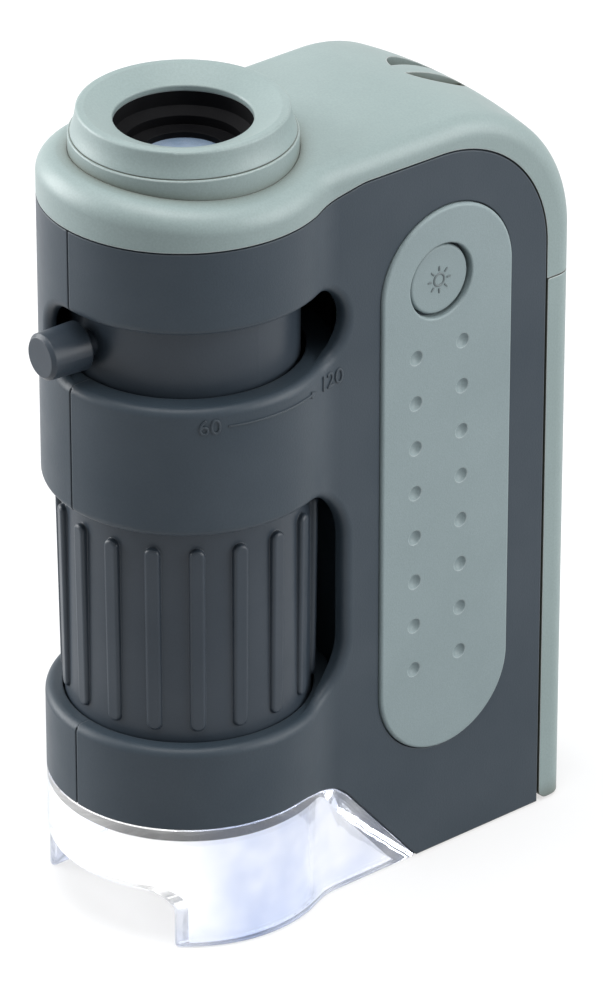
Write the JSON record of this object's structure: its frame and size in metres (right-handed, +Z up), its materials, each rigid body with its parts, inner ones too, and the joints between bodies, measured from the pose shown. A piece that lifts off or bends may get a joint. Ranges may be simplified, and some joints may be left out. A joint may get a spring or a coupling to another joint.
{
  "type": "kids microscope",
  "caption": "Upright pocket zoom microscope with a clear lighted foot, ribbed focus drum, zoom lever in a slot, eyecup, push button for the lamp and a hinged battery door",
  "frame": {"origin": "on the ground under the middle of the object's box, standing on its clear foot", "axes": "+Z up along the optical axis, +Y to the battery door at the back, +X to the side with the light button; millimetre model, metres in the row"},
  "size_m": [0.032, 0.0648, 0.0966],
  "materials": {
    "dark_shell_plastic": "fine moulded texture",
    "light_cover_plastic": "smooth moulded satin",
    "panel_plastic": "soft-touch satin",
    "drum_plastic": "moulded satin",
    "eyecup_plastic": "smooth moulded satin",
    "clear_plastic": "clear moulding, lit by the lamp",
    "black_plastic": "matt, anti-glare",
    "inner_plastic": "plain moulding",
    "lens_glass": "polished",
    "steel": "zinc plated",
    "contact_metal": "nickel plated",
    "cell_jacket": "plain printed sleeve",
    "board_laminate": "solder mask",
    "lamp_resin": "clear epoxy, lit"
  },
  "bodies": {
    "housing": {"right_shell": "dark_shell_plastic", "left_shell": "dark_shell_plastic", "shell_screws": "steel", "top_cover": "light_cover_plastic", "door_hinge_pins": "steel", "clear_base": "clear_plastic", "right_grip_panel": "panel_plastic", "left_grip_panel": "panel_plastic", "guide_tube": "black_plastic", "eyepiece_barrel": "black_plastic", "eye_lens": "lens_glass", "eye_lens_ring": "black_plastic", "eyecup_ring": "eyecup_plastic", "eyecup": "eyecup_plastic", "battery_cell": "cell_jacket", "battery_tray": "inner_plastic", "battery_spring": "contact_metal", "negative_contact": "contact_metal", "positive_contact": "contact_metal", "circuit_board": "board_laminate", "board_screws": "steel", "board_chips": "black_plastic", "tact_switch": "black_plastic", "led_lamp": "lamp_resin", "led_leads": "contact_metal"},
    "battery_door": {"battery_door": "light_cover_plastic"},
    "zoom_ring": {"zoom_ring": "drum_plastic", "zoom_lever": "drum_plastic"},
    "zoom_carriage": {"zoom_carriage": "black_plastic", "zoom_follower_pin": "steel", "zoom_lens": "lens_glass", "zoom_lens_ring": "black_plastic"},
    "focus_drum": {"focus_drum": "drum_plastic"},
    "objective": {"objective_barrel": "black_plastic", "focus_follower_pin": "steel", "objective_lens": "lens_glass", "objective_ring": "black_plastic"},
    "light_button": {"light_button": "panel_plastic"}
  },
  "joints": [
    {"name": "focus_turn", "type": "hinge", "parent": "housing", "child": "focus_drum", "pos_m": [0, -0.01324, 0.0389], "axis": [0, 0, 1], "range_deg": [-150, 150]},
    {"name": "focus_travel", "type": "slide", "parent": "housing", "child": "objective", "axis": [0, 0, 1], "range_m": [-0.00251, 0.00251]},
    {"name": "zoom_turn", "type": "hinge", "parent": "housing", "child": "zoom_ring", "pos_m": [0, -0.01324, 0.0718], "axis": [0, 0, 1], "range_deg": [-2.5, 116]},
    {"name": "zoom_travel", "type": "slide", "parent": "housing", "child": "zoom_carriage", "axis": [0, 0, 1], "range_m": [-0.00469, 0.00011]},
    {"name": "battery_door_swing", "type": "hinge", "parent": "housing", "child": "battery_door", "pos_m": [0, 0.03046, 0.0015], "axis": [-1, 0, 0], "range_deg": [0, 75]},
    {"name": "light_button_press", "type": "slide", "parent": "housing", "child": "light_button", "axis": [-1, 0, 0], "range_m": [0, 0.0008], "stiffness_N_per_m": 400}
  ],
  "couplings": [
    {"joint": "focus_travel", "follows": "focus_turn", "m_per_rad": -0.00095493},
    {"joint": "zoom_travel", "follows": "zoom_turn", "m_per_rad": -0.0023103}
  ]
}
